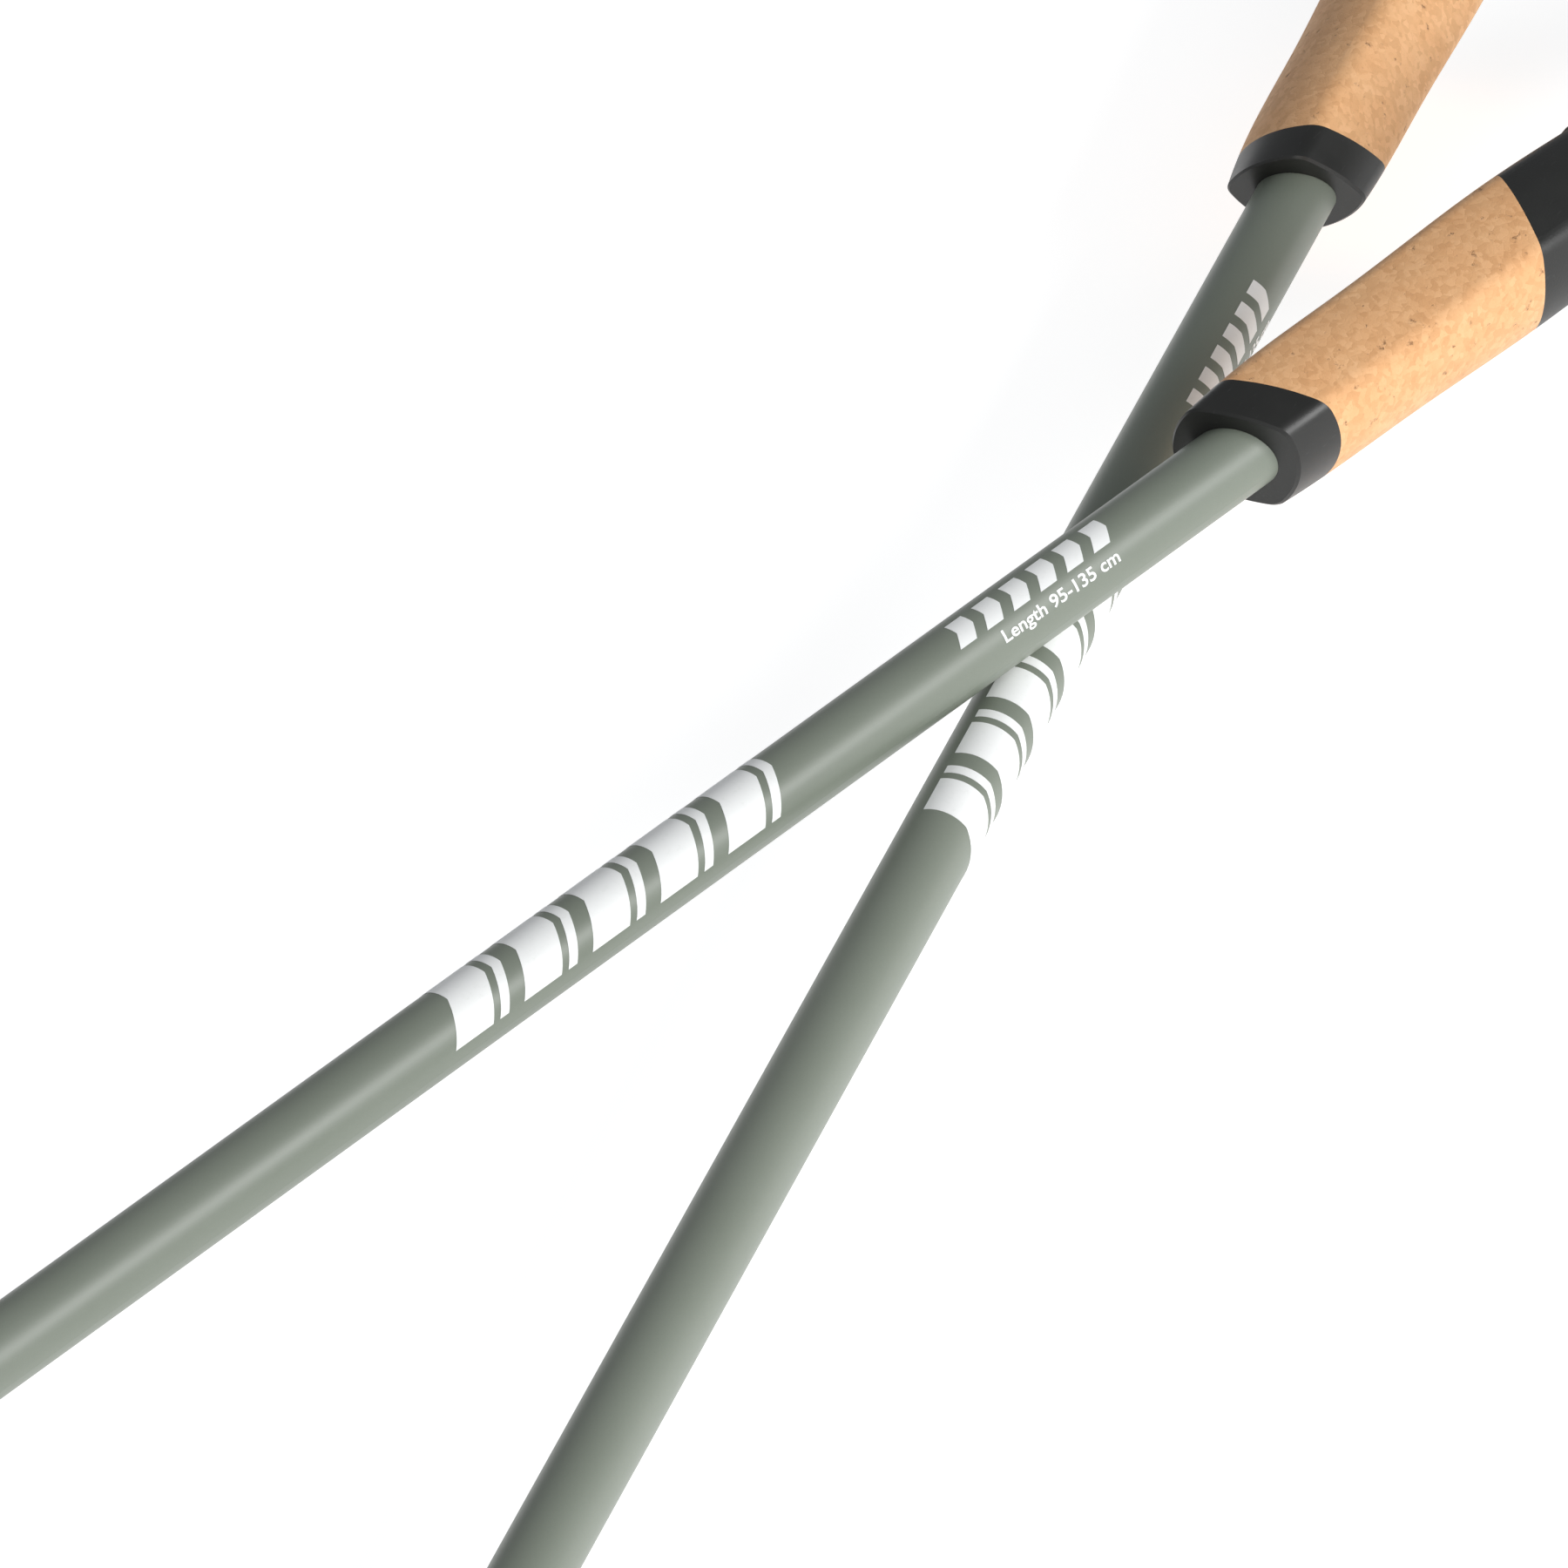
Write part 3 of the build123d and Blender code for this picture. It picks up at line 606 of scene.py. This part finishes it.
def lettering(words, size, length=None, bold=0.0, cut=0.7 * MM):
    """Flat text as a mesh, centred, cut into strips along y, stretched to length."""
    begin()
    bpy.ops.object.text_add()
    text = bpy.context.object
    text.data.body = words
    text.data.size = size
    text.data.align_x = "CENTER"
    text.data.align_y = "CENTER"
    text.data.resolution_u = 4
    text.data.offset = bold
    bpy.ops.object.convert(target="MESH")
    text = bpy.context.object
    if length:
        widest = max(v.co.x for v in text.data.vertices) - min(v.co.x for v in text.data.vertices)
        for vertex in text.data.vertices:
            vertex.co.x *= length / widest
    low = min(v.co.y for v in text.data.vertices)
    high = max(v.co.y for v in text.data.vertices)
    bpy.ops.object.mode_set(mode="EDIT")
    for step in range(1, int((high - low) / cut) + 1):
        bpy.ops.mesh.select_all(action="SELECT")
        bpy.ops.mesh.bisect(plane_co=(0, low + step * cut, 0), plane_no=(0, 1, 0))
    bpy.ops.mesh.select_all(action="SELECT")
    bpy.ops.mesh.remove_doubles(threshold=0.001 * MM)
    bpy.ops.object.mode_set(mode="OBJECT")
    return text


for pole in POLES:
    start, end = SMALL_SPAN
    pitch = (end - start) / SMALL_COUNT
    marks = []
    for i in range(SMALL_COUNT):
        mark = strip(pitch * SMALL_FILL, SMALL_HEIGHT, SMALL_STRIPS, slant=SMALL_LEAN, point=SMALL_POINT)
        marks.append(slid(mark, -(end - pitch * (i + 0.5))))
    place(inked(marks, UPPER_RADIUS, SMALL_MIDDLE), f"pole_{pole}_small_print",
          PLACE[pole], ink, f"shaft_{pole}", "painted_tube")
    words = lettering("Length 95-135 cm", RANGE_SIZE, RANGE_LENGTH, RANGE_BOLD)
    slid(words, -(start + RANGE_SHIFT + RANGE_LENGTH / 2))
    place(inked([words], UPPER_RADIUS, RANGE_MIDDLE), f"pole_{pole}_length_range",
          PLACE[pole], ink, f"shaft_{pole}", "painted_tube")
print("small print and length range on both poles")

# %% [markdown]
# A telescopic pole has a scale on its lower tube: the line that stands at the lock's lower
# edge gives the pole's length in centimetres. The pole is drawn set to 120, so the numbers
# below 120 are in view, and the rest are inside the upper tube, as they are on the real one,
# and come out when the pole is lengthened. The scale rides with the lower section.

# %% Length scale
SCALE_READS = 120
SCALE_EDGE = -632 * MM
SCALE_MIDDLE = -60.0
SCALE_NUMBERS = range(100, 140, 5)
CENTIMETRE = 10 * MM
NUMBER_SIZE = 5.2 * MM

pale_ink = ink.copy()
pale_ink.name = "pale_ink"
for pole in POLES:
    marks = []
    for number in SCALE_NUMBERS:
        line = SCALE_EDGE - (SCALE_READS - number) * CENTIMETRE
        marks.append(slid(strip(0.7 * MM, 11 * MM, 14), line))
        marks.append(slid(lettering(str(number), NUMBER_SIZE), line - NUMBER_SIZE))
        for step in range(1, 5):
            if number < SCALE_NUMBERS[-1]:
                marks.append(slid(strip(0.35 * MM, 5 * MM, 7), line + step * CENTIMETRE, 3 * MM))
    place(inked(marks, LOWER_RADIUS, SCALE_MIDDLE), f"pole_{pole}_length_scale",
          PLACE[pole], pale_ink, f"lower_{pole}", "lower_tube_metal")
print("length scale from", SCALE_NUMBERS[0], "to", SCALE_NUMBERS[-1])

# %% [markdown]
# The wrist strap is 20 mm webbing. It leaves the slot in the back of the head, makes a loop
# and comes back into the slot, both ends held by the steel pin. It is made as the real one
# is: a long flat strip, with a thicker woven edge on each side, is bent along a smooth
# curve by a Curve modifier. The curve is drawn in the plane of the loop, as distance out
# from the shaft and height along it. Near the slot the loop's plane has to turn square to
# the head, so the turn fades out over the last few centimetres.

# %% Webbing material
WEB_PITCH = 1.25 * MM      # from one warp rib to the next
WEFT_SHARE = 0.55          # weft pitch as a share of the warp's
# A Wave texture of scale 1 repeats every tau / 20 of its coordinate.
WAVE_REPEAT = math.tau / 20

webbing = finish("webbing", (0.022, 0.023, 0.022), 0.82, Sheen_Weight=0.35, Specular_IOR_Level=0.3)
shader_of(webbing).inputs["Sheen Roughness"].default_value = 0.4
web_along = pattern(webbing, "TexWave", "Fac", "UV", Scale=WAVE_REPEAT / WEB_PITCH, Distortion=0.0)
web_across = pattern(webbing, "TexWave", "Fac", "UV", bands_direction="Y",
                     Scale=WAVE_REPEAT / (WEB_PITCH * WEFT_SHARE), Distortion=0.0)
web_fuzz = pattern(webbing, "TexNoise", "Fac", Scale=2600, Detail=4)
# The weave's colour is painted shade: its hollows are painted near black and its crests lighter, on the same cells
# that the bump below raises; the yarn itself is one black.
web_cells = tint(webbing, web_along, web_across, 1.0, "MULTIPLY")
web_painted_shade_tone = ramp(webbing, web_cells, [(0.0, (0.008, 0.008, 0.008)), (0.8, (0.040, 0.042, 0.040))])
web_lint = ramp(webbing, web_fuzz, [(0.55, 0.0), (0.8, 0.5)])
web_painted_shade_tone = tint(webbing, web_painted_shade_tone, (0.075, 0.078, 0.075), web_lint)
paint(webbing, "Base Color", web_painted_shade_tone)
web_bump = bump(webbing, web_fuzz, 0.03 * MM, 0.5)
bump(webbing, web_cells, 0.16 * MM, 0.9, web_bump)

thread = finish("thread", (0.42, 0.44, 0.40), 0.6, Sheen_Weight=0.2)
thread_twist = pattern(thread, "TexWave", "Fac", Scale=900, Distortion=3.0)
# The thread's colour is painted shade: the twist's grooves are painted darker and its crests lighter, on the same
# bands that its bump raises; the thread itself is one grey.
thread_painted_shade_tone = ramp(thread, thread_twist, [(0.2, (0.33, 0.35, 0.31)), (0.8, (0.52, 0.54, 0.49))])
paint(thread, "Base Color", thread_painted_shade_tone)
bump(thread, thread_twist, 0.05 * MM)
print("made the webbing and its thread")

# %% [markdown]
# The routes give each strap in millimetres. The first pole's loop stands on its edge behind
# the grip. The second pole's loop falls over the head and lies down on the floor, folded
# once. Each route starts and ends at the pin inside the head.

# %% Strap routes
PIN = Vector((7.0, 151.9)) * MM
STRAP_WIDTH = 20 * MM
STRAP_THICK = 1.5 * MM
LOOP_ROUTE = {
    "a": [
        (7, 150.3), (14, 150.3), (26, 150.4), (36, 162), (45, 196), (50, 240), (48, 284),
        (37, 318), (18, 330), (0, 318), (-9, 284), (-4, 240), (9, 202), (20, 177),
        (22, 160), (14, 153.9), (7, 153.9),
    ],
    "b": [
        (7, 150.2), (14, 150.2), (28, 150), (38, 160), (41, 184), (29, 210), (9, 236),
        (-7, 272), (-12, 308), (-14, 332), (-18, 344), (-25, 342), (-29.4, 328),
        (-29.6, 300), (-28, 262), (-14, 232), (9, 208), (27, 188), (31, 168), (24, 157),
        (14, 154), (7, 154),
    ],
}
LOOP_TURN = {"a": math.radians(-15.5), "b": math.radians(30)}
LOOP_TILT = {"a": math.radians(-12.6), "b": 0.0}
SQUARE_UNTIL = 7 * MM
TURNED_FROM = 34 * MM


def loop_to_pole(pole, out, along, across):
    """A point of the loop's drawing, in the pole's frame."""
    away = math.hypot(out - PIN.x, along - PIN.y)
    share = min(max((away - SQUARE_UNTIL) / (TURNED_FROM - SQUARE_UNTIL), 0), 1)
    share = share * share * (3 - 2 * share)
    turn = math.pi + LOOP_TURN[pole] * share
    tilt = LOOP_TILT[pole] * share
    outward = Vector((math.cos(turn), math.sin(turn), 0))
    sideways = Vector((0, 0, 1)).cross(outward)
    upward = Vector((0, 0, 1)) * math.cos(tilt) + sideways * math.sin(tilt)
    normal = outward.cross(upward)
    return Vector((0, 0, PIN.y)) + outward * out + upward * (along - PIN.y) + normal * across


def loop_curve(pole):
    """The strap's centre line as a smooth open curve in the loop's own drawing."""
    points = [Vector((x, y, 0)) * MM for x, y in LOOP_ROUTE[pole]]
    data = bpy.data.curves.new(f"loop_{pole}", "CURVE")
    data.dimensions = "2D"
    data.resolution_u = 16
    spline = data.splines.new("NURBS")
    spline.points.add(len(points) - 1)
    for target, point in zip(spline.points, points):
        target.co = (*point, 1)
    spline.order_u = 3
    spline.use_endpoint_u = True
    curve = bpy.data.objects.new(f"loop_{pole}", data)
    bpy.context.scene.collection.objects.link(curve)
    return curve


LOOPS = {pole: loop_curve(pole) for pole in POLES}
LOOP_LENGTH = {pole: LOOPS[pole].data.splines[0].calc_length() for pole in POLES}
print("strap lengths in metres:", {pole: round(LOOP_LENGTH[pole], 3) for pole in POLES})

# %% [markdown]
# A strip is a grid stood on edge: its length lies along x, where the Curve modifier bends
# it, and its width along z. Solidify gives the cloth its thickness. The UV map is set in
# metres before bending, so that the weave keeps its size and follows every turn.

# %% A strip of webbing, bent along the loop
STRIP_STEP = 1.6 * MM
SELVEDGE = 1.6 * MM
PROFILE = (-1.0, -0.93, -0.80, -0.4, 0.0, 0.4, 0.80, 0.93, 1.0)


def bent_strip(pole, start, end, width, thick, lift=0.0):
    """Webbing from start to end along the loop, lifted off its centre line."""
    count = max(int((end - start) / STRIP_STEP), 2)
    begin()
    bpy.ops.mesh.primitive_grid_add(x_subdivisions=count, y_subdivisions=len(PROFILE) - 1, size=1)
    cloth = bpy.context.object
    layer = cloth.data.uv_layers.active or cloth.data.uv_layers.new(name="UVMap")
    for vertex in cloth.data.vertices:
        row = round((vertex.co.y + 0.5) * (len(PROFILE) - 1))
        vertex.co = (start + (vertex.co.x + 0.5) * (end - start), lift, PROFILE[row] * width / 2)
    for loop in cloth.data.loops:
        co = cloth.data.vertices[loop.vertex_index].co
        layer.data[loop.index].uv = (co.x, co.z)
    modify(cloth, "SOLIDIFY", thickness=thick, offset=0.0)
    for vertex in cloth.data.vertices:
        edge = min(max((abs(vertex.co.z) - width / 2 + SELVEDGE) / SELVEDGE, 0), 1)
        side = vertex.co.y - lift
        vertex.co.y = lift + side * (1 + 0.16 * math.sin(math.pi * edge) - 0.55 * edge ** 4)
    return cloth


def bend(piece, pole):
    """Bend a strip along the loop's curve and lay it in the pole's frame."""
    modify(piece, "CURVE", object=LOOPS[pole], deform_axis="POS_X")
    for vertex in piece.data.vertices:
        vertex.co = loop_to_pole(pole, *vertex.co)
    return piece


for pole in POLES:
    cloth = bend(bent_strip(pole, 0, LOOP_LENGTH[pole], STRAP_WIDTH, STRAP_THICK), pole)
    strap = place(cloth, f"pole_{pole}_wrist_strap", PLACE[pole], webbing, f"shaft_{pole}", "webbing")
    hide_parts(f"pole_{pole}_strap")
    print(strap.name, "has", len(strap.data.polygons), "faces")

# %% [markdown]
# The strap's ends are sewn. A short second layer lies on the outside of the loop, and a box
# of stitches with a cross in it holds the two together. Each stitch is a small bead of
# thread, modelled once as a rounded bar, copied along the lines of the box, and bent along
# the loop with the strap.

# %% Sewn patch and stitches
PATCH = (0.078, 0.118)
PATCH_THICK = 1.2 * MM
STITCH = 2.2 * MM
STITCH_R = 0.32 * MM
STITCH_INSET = 3 * MM


def stitch_line(start, end):
    """Places and directions of the stitches on a straight line of a flat drawing."""
    run = Vector(end) - Vector(start)
    count = max(int(run.length / (STITCH * 1.35)), 1)
    return [(Vector(start) + run * ((i + 0.5) / count), math.atan2(run.y, run.x)) for i in range(count)]


def stitch(middle, angle, lift):
    """One rounded bead of thread on the strip's face."""
    begin()
    bpy.ops.mesh.primitive_cylinder_add(vertices=6, radius=STITCH_R, depth=STITCH,
                                        rotation=(0, math.pi / 2, 0))
    bead = bpy.context.object
    bpy.ops.object.transform_apply(location=False, rotation=True, scale=False)
    bpy.ops.object.mode_set(mode="EDIT")
    bpy.ops.mesh.select_all(action="SELECT")
    bpy.ops.mesh.bevel(offset=STITCH_R * 0.5, segments=1)
    bpy.ops.object.mode_set(mode="OBJECT")
    turn = Matrix.Rotation(angle, 4, "Z")
    stand = Matrix(((1, 0, 0), (0, 0, -1), (0, 1, 0))).to_4x4()
    bead.data.transform(Matrix.Translation((middle.x, lift, middle.y)) @ stand @ turn)
    return bead


for pole in POLES:
    top = STRAP_THICK / 2 + PATCH_THICK
    patch = bend(bent_strip(pole, *PATCH, STRAP_WIDTH * 0.98, PATCH_THICK,
                            -(STRAP_THICK + PATCH_THICK) / 2), pole)
    place(patch, f"pole_{pole}_strap_patch", PLACE[pole], webbing, f"shaft_{pole}", "webbing")
    near, far = PATCH[0] + STITCH_INSET, PATCH[1] - STITCH_INSET
    half = STRAP_WIDTH / 2 - STITCH_INSET
    corners = [(near, -half), (far, -half), (far, half), (near, half)]
    lines = [(corners[i], corners[(i + 1) % 4]) for i in range(4)]
    lines += [(corners[0], corners[2]), (corners[1], corners[3])]
    beads = [stitch(middle, angle, -top) for line in lines for middle, angle in stitch_line(*line)]
    print("pole", pole, "patch has", len(beads), "stitches")
    place(bend(join(beads), pole), f"pole_{pole}_stitches", PLACE[pole], thread,
          f"shaft_{pole}", "webbing")

for curve in LOOPS.values():
    bpy.data.objects.remove(curve)

# %% [markdown]
# The head has a few moulded ribs round its neck, where the fingers press. A rib has to
# follow the head's own section, which is neither round nor square, so it is cut from the
# head itself: a copy of the head is sliced at the rib's height, the outline of the slice is
# kept and turned into a curve, and a round bevel makes the bead.

# %% Ribs round the neck
RIB_HEIGHTS = (126.0, 130.5, 135.0)
RIB_R = 0.55 * MM


def slice_bead(node, pole, height, radius):
    """A bead round a CAD piece, where a plane square to the shaft cuts it."""
    solid = frame["nodes"][node]
    begin()
    copy = bpy.data.objects.new("slice", solid.data.copy())
    bpy.context.scene.collection.objects.link(copy)
    copy.data.transform(PLACE[pole].inverted())
    only(copy)
    bpy.ops.object.mode_set(mode="EDIT")
    bpy.ops.mesh.select_all(action="SELECT")
    bpy.ops.mesh.remove_doubles(threshold=0.002 * MM)
    bpy.ops.mesh.select_all(action="SELECT")
    bpy.ops.mesh.bisect(plane_co=(0, 0, height), plane_no=(0, 0, 1), clear_inner=True, clear_outer=True)
    bpy.ops.object.mode_set(mode="OBJECT")
    bpy.ops.object.convert(target="CURVE")
    outline = bpy.context.object
    outline.data.dimensions = "3D"
    outline.data.bevel_depth = radius
    outline.data.bevel_resolution = 2
    bpy.ops.object.convert(target="MESH")
    return bpy.context.object


for pole in POLES:
    beads = [slice_bead(f"pole_{pole}_grip_head", pole, height * MM, RIB_R) for height in RIB_HEIGHTS]
    place(join(beads), f"pole_{pole}_neck_ribs", PLACE[pole], FINISHES["head_plastic"],
          f"shaft_{pole}", "head_plastic")
print("ribs round both necks")

# %% [markdown]
# The lever has raised ribs near its lip for the thumb, and the basket has spokes between
# its windows that stiffen it. Both are small bars with rounded edges, modelled once and
# turned to each place round the shaft. They ride with the lever and the basket, so they
# move when those do.

# %% Lever ribs and basket spokes
LOCK_TURN = 150.0
LEVER_OUTER = 16.4 * MM
LOCK_MIDDLE = -616.5 * MM
LEVER_RIBS = (-66, -58, -50, -42)
SPOKE_SPAN = (10.2 * MM, 23.6 * MM)
BASKET_DISC = -970.0 * MM
SPOKES = 6
FIRST_SPOKE = 30


def bar(size, middle, edge):
    """A small bar with rounded edges."""
    begin()
    bpy.ops.mesh.primitive_cube_add(size=1, location=middle, scale=size)
    block = bpy.context.object
    bpy.ops.object.transform_apply(location=True, rotation=False, scale=True)
    bpy.ops.object.mode_set(mode="EDIT")
    bpy.ops.mesh.select_all(action="SELECT")
    bpy.ops.mesh.bevel(offset=edge, segments=3)
    bpy.ops.object.mode_set(mode="OBJECT")
    return block


def turned_copies(block, angles):
    """Copies of a block turned about the shaft, joined into one piece."""
    copies = []
    for angle in angles:
        copy = bpy.data.objects.new("copy", block.data.copy())
        bpy.context.scene.collection.objects.link(copy)
        copy.data.transform(Matrix.Rotation(math.radians(angle), 4, "Z"))
        copies.append(copy)
    bpy.data.objects.remove(block)
    return join(copies)


for pole in POLES:
    rib = bar((1.2 * MM, 1.1 * MM, 15 * MM), (LEVER_OUTER + 0.15 * MM, 0, LOCK_MIDDLE), 0.4 * MM)
    place(turned_copies(rib, [LOCK_TURN + angle for angle in LEVER_RIBS]), f"pole_{pole}_lever_ribs",
          PLACE[pole], FINISHES["lever_metal"], f"lever_{pole}", "lever_metal")
    length = SPOKE_SPAN[1] - SPOKE_SPAN[0]
    spoke = bar((length, 1.3 * MM, 1.5 * MM), (sum(SPOKE_SPAN) / 2, 0, BASKET_DISC + 1.0 * MM), 0.4 * MM)
    spoke_angles = [FIRST_SPOKE + 360 // SPOKES * i for i in range(SPOKES)]
    place(turned_copies(spoke, spoke_angles), f"pole_{pole}_basket_spokes",
          PLACE[pole], FINISHES["ferrule_plastic"], f"basket_{pole}", "ferrule_plastic")
print("lever ribs and basket spokes on both poles")
